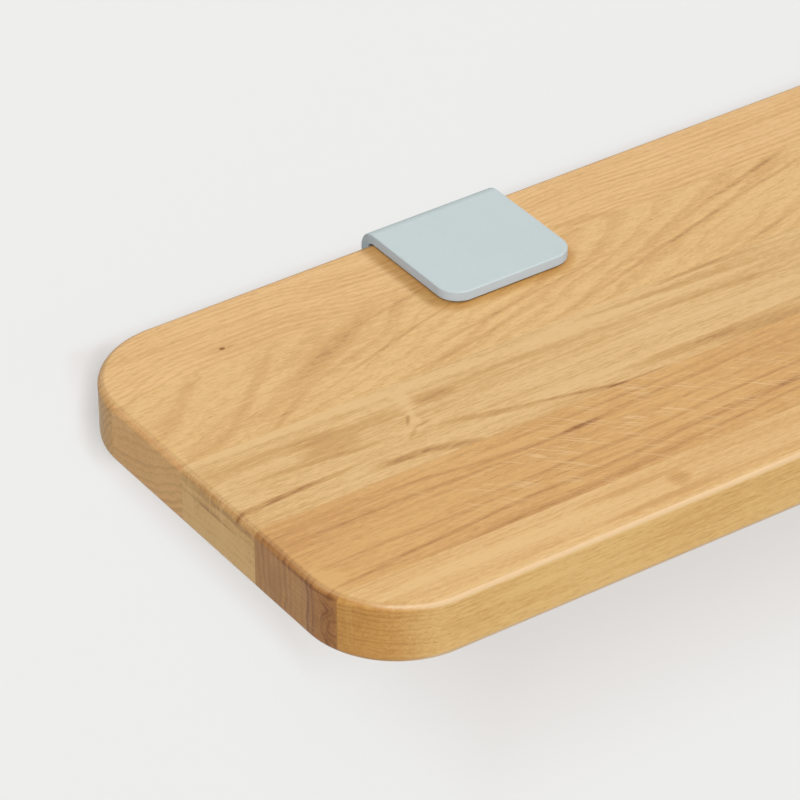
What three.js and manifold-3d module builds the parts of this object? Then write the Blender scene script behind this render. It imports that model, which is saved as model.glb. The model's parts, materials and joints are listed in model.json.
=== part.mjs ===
// A wall-mounted nightstand: an oak board of edge-glued staves, held on the wall by two folded
// steel brackets. Each bracket's tongue wraps over the board's back edge, and a clamp under the
// board pinches it against that tongue.
//
// Millimetres, +Z up. The wall is the plane y = 0 and the board reaches from it towards -y. The
// origin lies on the wall, at the middle of the board's length, level with the board's top.
import * as THREE from "three";
import { mergeVertices } from "three/addons/utils/BufferGeometryUtils.js";
import Module from "manifold-3d";

const wasm = await Module();
wasm.setup();

// Board
const boardLength = 600;
const boardThickness = 25;
const boardCornerRadius = 37;
const boardEdgeRadius = 3.2;
const rearStaveWidth = 36;
const innerStaveWidth = 47;
const frontStaveWidth = 23;

// Brackets. The plate's thickness is that of the steel with its powder coat.
const bracketSpacing = 273;
const plateWidth = 57;
const plateThickness = 4.2;
const plateDrop = 135;
const plateCornerRadius = 9;
const tongueReach = 59.5;
const tongueCornerRadius = 9;
const boardToPlateClearance = 0.6;

// Countersunk holes for the wall screws
const wallHoleRadius = 2.8;
const countersinkRadius = 5.6;
const upperHoleSpacing = 32;
const lowerHoleRise = 20;

// Arm under the board: a channel folded from sheet, open below
const armReach = 150;
const armWidth = 50;
const armSheetThickness = 3;
const armFoldRadius = 4;
const armHeelDepth = 60;
const armNoseDepth = 16;

// Pads between steel and wood
const tonguePadThickness = 0.8;
const tonguePadInset = 2;
const restPadThickness = 1.5;
const restPadLength = 36;
const restPadWidth = 10;
const restPadMargin = 6;
const padCornerRadius = 2;

// Clamp: a pressure plate that a screw pushes up through a window in the arm
const clampTravel = 4;
const clampPlateWidth = 26;
const clampPlateLength = 36;
const clampPlateThickness = 5;
const clampPlateCornerRadius = 4;
const windowClearance = 1;
const runningClearance = 0.3;
const screwRadius = 4;
const screwHeadRadius = 6.5;
const screwHeadHeight = 8;
const screwSpareLength = 4;
const keyAcrossFlats = 6;
const keySocketDepth = 4;
const neckRadius = 2.5;
const grooveRadius = 1.9;
const collarHeight = 0.8;
const ringRadius = 4.5;
const ringThickness = 0.8;
const pocketRadius = 5.5;
const pocketDepth = 2.7;
const nutAcrossFlats = 14;
const nutHeight = 6.5;
const nutStandoff = 2.5;
const bridgeLength = 26;
const bridgeThickness = 4;

// How finely round shapes are divided, and how far a cutter overruns what it cuts
const boardCornerSegments = 6;
const cornerSegments = 3;
const edgeSegments = 4;
const roundSegments = 24;
const overrun = 2;
const ringGapAngle = Math.PI / 3;

// Heights, worked out downwards from the board's top at z = 0
const tongueUnderside = tonguePadThickness;
const tongueTop = tongueUnderside + plateThickness;
const plateBottom = -plateDrop;
const boardUnderside = -boardThickness;
const armTop = boardUnderside - restPadThickness;
const clampPlateTop = armTop;
const clampPlateBottom = clampPlateTop - clampPlateThickness;
const pocketFloor = clampPlateTop - pocketDepth;
const ringBottom = pocketFloor + runningClearance;
const ringTop = ringBottom + ringThickness;
const screwShoulder = clampPlateBottom - runningClearance;
const nutTop = clampPlateBottom - clampTravel - nutStandoff;
const bridgeTop = nutTop - nutHeight;
const bridgeBottom = bridgeTop - bridgeThickness;
const screwHeadTop = bridgeBottom - screwSpareLength;
const screwHeadBottom = screwHeadTop - screwHeadHeight;

// Depths, worked out forwards from the wall. The bend follows the board's rounded back edge.
const bendInnerRadius = boardEdgeRadius + tonguePadThickness;
const bendOuterRadius = bendInnerRadius + plateThickness;
const boardBack = -(plateThickness + boardToPlateClearance);
const clampY = -(bendOuterRadius + tongueReach) / 2;
const windowFront = clampY - clampPlateLength / 2 - windowClearance;
const rearRestPadY = windowFront - restPadMargin - restPadWidth / 2;
const frontRestPadY = -armReach + restPadMargin + restPadWidth / 2;

const oakColours = {
  rear_stave: 0xd9b27b,
  second_stave: 0xdcb67f,
  third_stave: 0xd8b07a,
  fourth_stave: 0xcfa26c,
  front_stave: 0xdbb176,
};
const staveWidths = {
  rear_stave: rearStaveWidth,
  second_stave: innerStaveWidth,
  third_stave: innerStaveWidth,
  fourth_stave: innerStaveWidth,
  front_stave: frontStaveWidth,
};
const boardDepth = Object.values(staveWidths).reduce((sum, width) => sum + width);

function finish(color, roughness, metalness) {
  return { color, roughness, metalness };
}

const powderCoat = finish(0xc7d3d3, 0.6, 0);
const zincPlated = finish(0xb9bcbe, 0.35, 1);
const blackSteel = finish(0x2b2c2e, 0.4, 0.9);
const padRubber = finish(0x3a3a3a, 0.85, 0);

const acrossX = new THREE.Vector3(1, 0, 0);
const acrossY = new THREE.Vector3(0, 1, 0);
const upward = new THREE.Vector3(0, 0, 1);

// A closed geometry as a solid that can be cut and joined.
function solid(geometry) {
  geometry.deleteAttribute("normal");
  geometry.deleteAttribute("uv");
  const merged = mergeVertices(geometry);
  const corners = merged.index.array;
  const kept = [];
  for (let i = 0; i < corners.length; i += 3) {
    const [a, b, c] = corners.slice(i, i + 3);
    if (a !== b && b !== c && c !== a) kept.push(a, b, c);
  }
  return new wasm.Manifold(
    new wasm.Mesh({
      numProp: 3,
      vertProperties: merged.attributes.position.array,
      triVerts: new Uint32Array(kept),
    }),
  );
}

function mesh(name, body, look) {
  const { vertProperties, triVerts } = body.getMesh();
  const indexed = new THREE.BufferGeometry();
  indexed.setAttribute("position", new THREE.BufferAttribute(vertProperties, 3));
  indexed.setIndex(new THREE.BufferAttribute(triVerts, 1));
  const geometry = indexed.toNonIndexed();
  geometry.computeVertexNormals();
  const made = new THREE.Mesh(geometry, new THREE.MeshStandardMaterial(look));
  made.name = name;
  return made;
}

function extruded(shape, depth) {
  return new THREE.ExtrudeGeometry(shape, {
    depth,
    bevelEnabled: false,
    curveSegments: cornerSegments,
  });
}

// A shape drawn in x and y, standing from z = low to z = high.
function upright(shape, low, high) {
  return solid(extruded(shape, high - low).translate(0, 0, low));
}

// A shape drawn in y and z, centred on x = 0 and as wide as given.
function crosswise(shape, width) {
  const turn = new THREE.Matrix4().makeBasis(acrossY, upward, acrossX);
  return solid(extruded(shape, width).applyMatrix4(turn).translate(-width / 2, 0, 0));
}

// A shape drawn in x and z, reaching from y = back towards the front as far as y = front.
function lengthwise(shape, back, front) {
  const forward = acrossY.clone().negate();
  const turn = new THREE.Matrix4().makeBasis(acrossX, upward, forward);
  return solid(extruded(shape, back - front).applyMatrix4(turn).translate(0, back, 0));
}

// A profile of [radius, height] points, from the foot upwards, turned round the y axis.
function turnedAlongY(profile) {
  const points = profile.map(([radius, along]) => new THREE.Vector2(radius, along));
  return new THREE.LatheGeometry(points, roundSegments);
}

function turnedUpright(profile) {
  const turn = new THREE.Matrix4().makeBasis(acrossY, upward, acrossX);
  return solid(turnedAlongY(profile).applyMatrix4(turn));
}

function cylinder(radius, low, high) {
  return turnedUpright([
    [0, low],
    [radius, low],
    [radius, high],
    [0, high],
  ]);
}

// A rectangle from (left, low) to (right, high) with its own radius at each end.
function roundedBox(left, low, right, high, lowRadius, highRadius) {
  const shape = new THREE.Shape();
  shape.moveTo(left + lowRadius, low);
  shape.lineTo(right - lowRadius, low);
  if (lowRadius) {
    shape.absarc(right - lowRadius, low + lowRadius, lowRadius, -Math.PI / 2, 0);
  }
  shape.lineTo(right, high - highRadius);
  if (highRadius) {
    shape.absarc(right - highRadius, high - highRadius, highRadius, 0, Math.PI / 2);
  }
  shape.lineTo(left + highRadius, high);
  if (highRadius) {
    shape.absarc(left + highRadius, high - highRadius, highRadius, Math.PI / 2, Math.PI);
  }
  shape.lineTo(left, low + lowRadius);
  if (lowRadius) {
    shape.absarc(left + lowRadius, low + lowRadius, lowRadius, Math.PI, Math.PI * 1.5);
  }
  return shape;
}

// A rectangle centred on x = 0, from y = front to y = back, with round corners.
function roundedPlan(width, front, back, radius) {
  return roundedBox(-width / 2, front, width / 2, back, radius, radius);
}

function hexagon(acrossFlats) {
  const cornerRadius = acrossFlats / Math.sqrt(3);
  const shape = new THREE.Shape();
  for (let corner = 0; corner < 6; corner += 1) {
    const angle = (corner * Math.PI) / 3;
    const x = cornerRadius * Math.cos(angle);
    const y = cornerRadius * Math.sin(angle);
    if (corner === 0) shape.moveTo(x, y);
    else shape.lineTo(x, y);
  }
  return shape;
}

// The whole board, rounded over along its top and bottom edges, before it is parted into staves.
function boardSolid() {
  const front = boardBack - boardDepth;
  const outline = roundedPlan(boardLength, front, boardBack, boardCornerRadius);
  const geometry = new THREE.ExtrudeGeometry(outline, {
    depth: boardThickness - 2 * boardEdgeRadius,
    bevelEnabled: true,
    bevelThickness: boardEdgeRadius,
    bevelSize: boardEdgeRadius,
    bevelOffset: -boardEdgeRadius,
    bevelSegments: edgeSegments,
    curveSegments: boardCornerSegments,
  });
  return solid(geometry.translate(0, 0, boardUnderside + boardEdgeRadius));
}

// The staves meet face to face at their glue joints.
function makeBoard() {
  const group = new THREE.Group();
  const whole = boardSolid();
  let back = boardBack;
  for (const [name, width] of Object.entries(staveWidths)) {
    const front = back - width;
    const slab = roundedPlan(boardLength + 2 * overrun, front, back, 0);
    const slot = upright(slab, boardUnderside - overrun, overrun);
    group.add(mesh(name, whole.intersect(slot), finish(oakColours[name], 0.5, 0)));
    back = front;
  }
  return group;
}

// The strip seen from its side: tongue, bend and wall plate.
function strapProfile() {
  const bendY = -bendOuterRadius;
  const bendZ = tongueTop - bendOuterRadius;
  const shape = new THREE.Shape();
  shape.moveTo(-tongueReach, tongueTop);
  shape.lineTo(bendY, tongueTop);
  shape.absarc(bendY, bendZ, bendOuterRadius, Math.PI / 2, 0, true);
  shape.lineTo(0, plateBottom);
  shape.lineTo(-plateThickness, plateBottom);
  shape.lineTo(-plateThickness, bendZ);
  shape.absarc(bendY, bendZ, bendInnerRadius, 0, Math.PI / 2);
  shape.lineTo(-tongueReach, tongueUnderside);
  return shape;
}

// A countersunk hole through the wall plate, wide at the plate's front.
function wallHole(x, z) {
  const front = -plateThickness;
  const profile = [
    [0, front - overrun],
    [countersinkRadius, front - overrun],
    [countersinkRadius, front],
    [wallHoleRadius, front + countersinkRadius - wallHoleRadius],
    [wallHoleRadius, overrun],
    [0, overrun],
  ];
  return solid(turnedAlongY(profile).translate(x, 0, z));
}

function strapSolid() {
  const edge = plateWidth / 2;
  const tongueOutline = roundedBox(-edge, -tongueReach, edge, 0, tongueCornerRadius, 0);
  const plateOutline = roundedBox(-edge, plateBottom, edge, tongueTop, plateCornerRadius, 0);
  const upperHoleZ = boardUnderside / 2;
  return crosswise(strapProfile(), plateWidth)
    .intersect(upright(tongueOutline, plateBottom, tongueTop))
    .intersect(lengthwise(plateOutline, 0, -tongueReach))
    .subtract(wallHole(-upperHoleSpacing / 2, upperHoleZ))
    .subtract(wallHole(upperHoleSpacing / 2, upperHoleZ))
    .subtract(wallHole(0, plateBottom + lowerHoleRise));
}

// The arm seen from its side: deep at the wall and shallow at the nose, with folded corners.
function armSideProfile() {
  const heel = armTop - armHeelDepth;
  const nose = armTop - armNoseDepth;
  const shape = new THREE.Shape();
  shape.moveTo(-plateThickness, armTop);
  shape.lineTo(-plateThickness, heel);
  shape.lineTo(-armReach + armFoldRadius, nose);
  shape.lineTo(-armReach, nose + armFoldRadius);
  shape.lineTo(-armReach, armTop - armFoldRadius);
  shape.absarc(
    -armReach + armFoldRadius,
    armTop - armFoldRadius,
    armFoldRadius,
    Math.PI,
    Math.PI / 2,
    true,
  );
  return shape;
}

// Top web, two tapered cheeks and a closed nose, with a window for the pressure plate.
function armSolid() {
  const heel = armTop - armHeelDepth;
  const edge = armWidth / 2;
  const inside = edge - armSheetThickness;
  const insideTop = armTop - armSheetThickness;
  const insideRadius = armFoldRadius - armSheetThickness;
  const outer = roundedBox(-edge, heel, edge, armTop, 0, armFoldRadius);
  const inner = roundedBox(-inside, heel - overrun, inside, insideTop, 0, insideRadius);
  const plan = roundedBox(-edge, -armReach, edge, -plateThickness, armFoldRadius, 0);
  const windowPlan = roundedPlan(
    clampPlateWidth + 2 * windowClearance,
    windowFront,
    clampY + clampPlateLength / 2 + windowClearance,
    clampPlateCornerRadius + windowClearance,
  );
  return lengthwise(outer, -plateThickness, -armReach)
    .subtract(lengthwise(inner, overrun, -armReach + armSheetThickness))
    .intersect(crosswise(armSideProfile(), armWidth))
    .intersect(upright(plan, heel, armTop))
    .subtract(upright(windowPlan, insideTop - overrun, armTop + overrun));
}

function tonguePadSolid() {
  const edge = plateWidth / 2 - tonguePadInset;
  const front = -tongueReach + tonguePadInset;
  const radius = tongueCornerRadius - tonguePadInset;
  const outline = roundedBox(-edge, front, edge, -bendOuterRadius, radius, 0);
  return upright(outline, 0, tonguePadThickness);
}

function restPadSolid(y) {
  const reach = restPadWidth / 2;
  const outline = roundedPlan(restPadLength, y - reach, y + reach, padCornerRadius);
  return upright(outline, armTop, boardUnderside);
}

// The bridge is welded between the cheeks, and the weld nut sits on its top.
function bridgeSolid() {
  const width = armWidth - 2 * armSheetThickness;
  const reach = bridgeLength / 2;
  const outline = roundedPlan(width, clampY - reach, clampY + reach, 0);
  const hole = cylinder(screwRadius + runningClearance, bridgeBottom - overrun, nutTop);
  return upright(outline, bridgeBottom, bridgeTop).subtract(hole.translate(0, clampY, 0));
}

function weldNutSolid() {
  const bore = cylinder(screwRadius + runningClearance, bridgeTop - overrun, nutTop + overrun);
  return upright(hexagon(nutAcrossFlats), bridgeTop, nutTop)
    .subtract(bore)
    .translate(0, clampY, 0);
}

function clampPlateOutline() {
  const reach = clampPlateLength / 2;
  const front = clampY - reach;
  return roundedPlan(clampPlateWidth, front, clampY + reach, clampPlateCornerRadius);
}

// The pocket in the plate's top takes the screw's tip and its retaining ring.
function pressurePlateSolid() {
  const pocket = cylinder(pocketRadius, pocketFloor, clampPlateTop + overrun);
  const hole = cylinder(neckRadius + runningClearance, clampPlateBottom - overrun, clampPlateTop);
  return upright(clampPlateOutline(), clampPlateBottom, clampPlateTop)
    .subtract(pocket.translate(0, clampY, 0))
    .subtract(hole.translate(0, clampY, 0));
}

function pressurePadSolid() {
  return upright(clampPlateOutline(), clampPlateTop, boardUnderside);
}

// Head, shank, and a neck with a groove for the retaining ring below the tip's collar.
function clampScrewSolid() {
  const grooveBottom = ringBottom - runningClearance;
  const grooveTop = ringTop + runningClearance;
  const tip = grooveTop + collarHeight;
  const blank = turnedUpright([
    [0, screwHeadBottom],
    [screwHeadRadius, screwHeadBottom],
    [screwHeadRadius, screwHeadTop],
    [screwRadius, screwHeadTop],
    [screwRadius, screwShoulder],
    [neckRadius, screwShoulder],
    [neckRadius, grooveBottom],
    [grooveRadius, grooveBottom],
    [grooveRadius, grooveTop],
    [neckRadius, grooveTop],
    [neckRadius, tip],
    [0, tip],
  ]);
  const socketTop = screwHeadBottom + keySocketDepth;
  const socket = upright(hexagon(keyAcrossFlats), screwHeadBottom - overrun, socketTop);
  return blank.subtract(socket).translate(0, clampY, 0);
}

// An open ring, sprung into the groove from the side.
function retainingRingSolid() {
  const inner = grooveRadius + runningClearance;
  const start = ringGapAngle / 2;
  const end = 2 * Math.PI - ringGapAngle / 2;
  const shape = new THREE.Shape();
  shape.absarc(0, 0, ringRadius, start, end);
  shape.absarc(0, 0, inner, end, start, true);
  return upright(shape, ringBottom, ringTop).translate(0, clampY, 0);
}

function makeBracket(side, x) {
  const group = new THREE.Group();
  const pieces = [
    ["wall_strap", strapSolid(), powderCoat],
    ["arm", armSolid(), powderCoat],
    ["tongue_pad", tonguePadSolid(), padRubber],
    ["rear_rest_pad", restPadSolid(rearRestPadY), padRubber],
    ["front_rest_pad", restPadSolid(frontRestPadY), padRubber],
    ["clamp_bridge", bridgeSolid(), powderCoat],
    ["weld_nut", weldNutSolid(), zincPlated],
    ["pressure_plate", pressurePlateSolid(), zincPlated],
    ["pressure_pad", pressurePadSolid(), padRubber],
    ["clamp_screw", clampScrewSolid(), blackSteel],
    ["retaining_ring", retainingRingSolid(), zincPlated],
  ];
  for (const [piece, body, look] of pieces) {
    group.add(mesh(`${side}_${piece}`, body, look));
  }
  group.position.x = x;
  return group;
}

const group = new THREE.Group();
group.add(makeBoard());
group.add(makeBracket("left", -bracketSpacing / 2));
group.add(makeBracket("right", bracketSpacing / 2));

export default group;
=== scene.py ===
# A wall-mounted nightstand: an oak board, held along its back edge by two folded steel brackets.
# Every length is in metres. The wall is the plane y = 0, and the board's top is at z = 0.
import json
import math

import bmesh
import bpy
from bmesh.types import BMEdge, BMFace, BMVert
from mathutils import Euler, Matrix, Vector

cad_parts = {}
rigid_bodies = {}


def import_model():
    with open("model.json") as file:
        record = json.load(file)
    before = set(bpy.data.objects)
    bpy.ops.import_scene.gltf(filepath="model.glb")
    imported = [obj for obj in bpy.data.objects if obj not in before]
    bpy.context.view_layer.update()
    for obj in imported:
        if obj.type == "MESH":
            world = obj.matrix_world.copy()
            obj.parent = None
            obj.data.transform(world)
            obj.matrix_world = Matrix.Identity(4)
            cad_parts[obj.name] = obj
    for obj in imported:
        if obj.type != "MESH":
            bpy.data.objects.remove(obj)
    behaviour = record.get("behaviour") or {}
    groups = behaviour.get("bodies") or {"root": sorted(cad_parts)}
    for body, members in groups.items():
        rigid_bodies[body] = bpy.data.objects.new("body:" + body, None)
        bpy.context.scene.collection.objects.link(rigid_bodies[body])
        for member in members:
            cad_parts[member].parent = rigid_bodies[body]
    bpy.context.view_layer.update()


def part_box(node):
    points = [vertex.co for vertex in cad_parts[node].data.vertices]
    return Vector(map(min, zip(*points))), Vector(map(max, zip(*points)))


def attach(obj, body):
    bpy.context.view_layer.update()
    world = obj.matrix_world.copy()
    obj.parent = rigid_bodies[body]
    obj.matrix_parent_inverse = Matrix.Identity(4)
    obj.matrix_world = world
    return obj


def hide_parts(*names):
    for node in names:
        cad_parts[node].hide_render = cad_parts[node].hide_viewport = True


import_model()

mm = 0.001


# Camera. It stands off the nightstand's left end and above it, and looks down to the right through a
# long lens, so that the board's far edge is hardly smaller than its near one.
camera_place = Vector((-1030.68 * mm, -1310.66 * mm, 1000.73 * mm))
camera_heading = math.radians(33.956)
camera_fall = math.radians(34.380)
camera_roll = math.radians(-0.621)
camera_lens = 223.38

scene = bpy.context.scene
camera = bpy.data.objects.new("camera", bpy.data.cameras.new("camera"))
camera.data.lens = camera_lens
camera.matrix_world = (
    Matrix.Translation(camera_place)
    @ Matrix.Rotation(-camera_heading, 4, "Z")
    @ Matrix.Rotation(math.pi / 2 - camera_fall, 4, "X")
    @ Matrix.Rotation(camera_roll, 4, "Z")
)
scene.collection.objects.link(camera)
scene.camera = camera
scene.view_settings.view_transform = "Standard"


# The board. Five oak staves are glued edge to edge into a panel, which is sawn to an outline with
# round corners, rounded over along both edges, sanded and oiled. Each stave keeps its own grain.
board_corner_radius = 37 * mm
board_corner_steps = 30
board_edge_radius = 3.2 * mm
board_edge_steps = 8
strap_corner_radius = 9 * mm

# Light that falls on other pieces by way of the oak takes a duller colour from it than shows.
oak_bounce = 0xBFA6A5
oak_relief = 0.015 * mm
# The wood has a painted shade close beside the tongues: its tone there, where that ends and where it
# is full, in millimetres off their outline, how far that is moved outwards, and how deep the shade
# goes.
painted_tongue_shade = 0xE6D7B9
tongue_shade_reach = (5.6, 1.4)
tongue_shade_shift = 1.2
tongue_shade_depth = (-4.0, -1.0)
# Sizes in millimetres along the grain, across it and down, of the patterns in the oak.
long_wave_size = (150.0, 40.0, 40.0)
short_wave_size = (26.0, 7.0, 7.0)
pore_size = (5.0, 0.5, 0.5)
ray_sheet_size = (60.0, 90.0, 1.0)
ray_break_size = (11.0, 9.0, 9.0)
grain_size = (4.0, 0.6, 0.6)
fibre_size = (40.0, 1.1, 1.1)
band_size = (200.0, 6.0, 6.0)
patch_size = (60.0, 22.0, 22.0)
mark_sway_size = (32.0, 9.0, 9.0)
mark_thread_size = (11.0, 0.8, 0.8)
fleck_size = (16.0, 0.9, 14.0)
fleck_field_size = (20.0, 5.0, 30.0)
# How far a mark sways across the grain and reaches down from the top, and an end mark inwards.
mark_sway = 3.0
mark_thickness = 6.0
end_mark_reach = 8.0

stave_names = ("rear", "second", "third", "fourth", "front")
stave_boxes = [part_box(name + "_stave") for name in stave_names]
board_low = Vector(map(min, zip(*(low for low, high in stave_boxes))))
board_high = Vector(map(max, zip(*(high for low, high in stave_boxes))))

sharp_turn = math.radians(34)
tiny = 0.01 * mm
white = (1, 1, 1, 1)


def block(low, high):
    """A box between two corners."""
    bm = bmesh.new()
    bmesh.ops.create_cube(bm, size=1)
    bmesh.ops.scale(bm, vec=Vector(high) - Vector(low), verts=bm.verts)
    bmesh.ops.translate(bm, vec=(Vector(low) + Vector(high)) / 2, verts=bm.verts)
    return bm


def round_off(bm, parts, radius, steps, affect="EDGES"):
    """Rounds these edges, or a flat face's corners, to a radius, in so many steps."""
    made = bmesh.ops.bevel(
        bm, geom=parts, offset=radius, offset_type="OFFSET", segments=steps, profile=0.5,
        affect=affect, material=-1,
    )
    bm.normal_update()
    return made["verts"]


def edges_along(bm, axis, test=lambda middle: True):
    """The edges that run along an axis, 0 to 2, and whose middle passes a test."""
    found = []
    for edge in bm.edges:
        start, end = (vert.co for vert in edge.verts)
        run = end - start
        if abs(run[axis]) > 0.999 * run.length and test((start + end) / 2):
            found.append(edge)
    return found


def soften(bm, radius, steps):
    """Rounds all edges where two faces meet at a clear angle."""
    sharp = [e for e in bm.edges if e.is_manifold and e.calc_face_angle() > sharp_turn]
    round_off(bm, sharp, radius, steps)


def cut_off(bm, point, outward):
    """Cuts away what lies outward of a plane and closes the cut."""
    everything = bm.verts[:] + bm.edges[:] + bm.faces[:]
    bmesh.ops.bisect_plane(
        bm, geom=everything, dist=tiny, plane_co=point, plane_no=outward, clear_outer=True
    )
    open_edges = [edge for edge in bm.edges if edge.is_boundary]
    bmesh.ops.edgeloop_fill(bm, edges=open_edges)


def new_object(name, bm, material):
    """Puts an object made of a mesh and a material into the scene."""
    mesh = bpy.data.meshes.new(name)
    bm.to_mesh(mesh)
    bm.free()
    mesh.materials.append(material)
    made = bpy.data.objects.new(name, mesh)
    scene.collection.objects.link(made)
    return made


def show(name, bm, material, node_names, body="shelf"):
    """Makes a finished piece of a mesh, in place of the model's nodes of those names."""
    bmesh.ops.recalc_face_normals(bm, faces=bm.faces)
    piece = new_object(name, bm, material)
    piece.data.shade_smooth()
    piece.data.set_sharp_from_angle(angle=sharp_turn)
    evened = piece.modifiers.new("even shading", "WEIGHTED_NORMAL")
    evened.keep_sharp = True
    if node_names:
        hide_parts(*node_names)
    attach(piece, body)


def colour(code):
    """The scene's own colour for a screen colour such as 0xC7D3D3."""
    channels = [((code >> shift) & 255) / 255 for shift in (16, 8, 0)]
    linear = [c / 12.92 if c < 0.04045 else ((c + 0.055) / 1.055) ** 2.4 for c in channels]
    return (*linear, 1)


def put(socket, value):
    """Links an output to a socket, or sets the socket."""
    if isinstance(value, bpy.types.NodeSocket):
        socket.id_data.links.new(value, socket)
    else:
        socket.default_value = value


def tree_of(*terms):
    """The node tree of the first of these terms that is a socket."""
    return next(term.id_data for term in terms if isinstance(term, bpy.types.NodeSocket))


def add_node(tree, kind, *terms, **settings):
    """A new shader node with these settings, whose first inputs take these terms."""
    node = tree.nodes.new("ShaderNode" + kind)
    for name, value in settings.items():
        setattr(node, name, value)
    for socket, term in zip(node.inputs, terms):
        put(socket, term)
    return node


def calc(operation, *terms):
    """A Math node's result."""
    return add_node(tree_of(*terms), "Math", *terms, operation=operation).outputs["Value"]


def scaled(value, factor, start):
    """The value times a factor, added to start."""
    return calc("MULTIPLY_ADD", value, factor, start)


def product(first, *others):
    """These terms multiplied."""
    for other in others:
        first = calc("MULTIPLY", first, other)
    return first


def vector_calc(operation, *terms, result="Vector"):
    """A Vector Math node's result."""
    return add_node(tree_of(*terms), "VectorMath", *terms, operation=operation).outputs[result]


def split(vector):
    """The three parts of a vector."""
    return add_node(vector.id_data, "SeparateXYZ", vector).outputs


def joined(*parts):
    """A vector made of three parts."""
    return add_node(tree_of(*parts), "CombineXYZ", *parts).outputs["Vector"]


def rise(value, start, end):
    """0 at start and 1 at end, with a smooth climb between them."""
    terms = (value, start, end)
    node = add_node(value.id_data, "MapRange", *terms, interpolation_type="SMOOTHSTEP")
    return node.outputs["Result"]


def blend(share, first, second, way="MIX"):
    """The first colour where share is 0, the second where it is 1."""
    tree = tree_of(share, first, second)
    node = add_node(tree, "Mix", share, data_type="RGBA", blend_type=way)
    put(node.inputs[6], first)
    put(node.inputs[7], second)
    return node.outputs[2]


def stain(first, second):
    """The first colour seen through the second."""
    return blend(1.0, first, second, "MULTIPLY")


def noise(place, grain, detail=2.0, roughness=0.5):
    """Noise from 0 to 1 whose patches are about as long, wide and high as grain says."""
    w, scale = 0.0, 1.0
    terms = (vector_calc("DIVIDE", place, grain), w, scale, detail, roughness)
    return add_node(place.id_data, "TexNoise", *terms).outputs["Fac"]


def swing(place, grain, detail=2.0, roughness=0.5):
    """Noise that swings about 0, by up to 0.5 either way."""
    return calc("SUBTRACT", noise(place, grain, detail, roughness), 0.5)


def socket_name(word):
    """The name of the socket that a keyword stands for."""
    return word.replace("_", " ").title()


def start_group(name, **inputs):
    """An empty node group, the sockets it is given and those of its colour, roughness and height.
    An input without a value is a vector, and one with a whole number is a colour."""
    tree = bpy.data.node_groups.new(name, "ShaderNodeTree")
    kinds = {type(None): "NodeSocketVector", float: "NodeSocketFloat", int: "NodeSocketColor"}
    for word, value in inputs.items():
        kind = kinds[type(value)]
        socket = tree.interface.new_socket(socket_name(word), in_out="INPUT", socket_type=kind)
        if value is not None:
            socket.default_value = colour(value) if kind == kinds[int] else value
    for result, kind in (("Color", int), ("Roughness", float), ("Height", float)):
        tree.interface.new_socket(result, in_out="OUTPUT", socket_type=kinds[kind])
    return tree, tree.nodes.new("NodeGroupInput").outputs, tree.nodes.new("NodeGroupOutput").inputs


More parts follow.
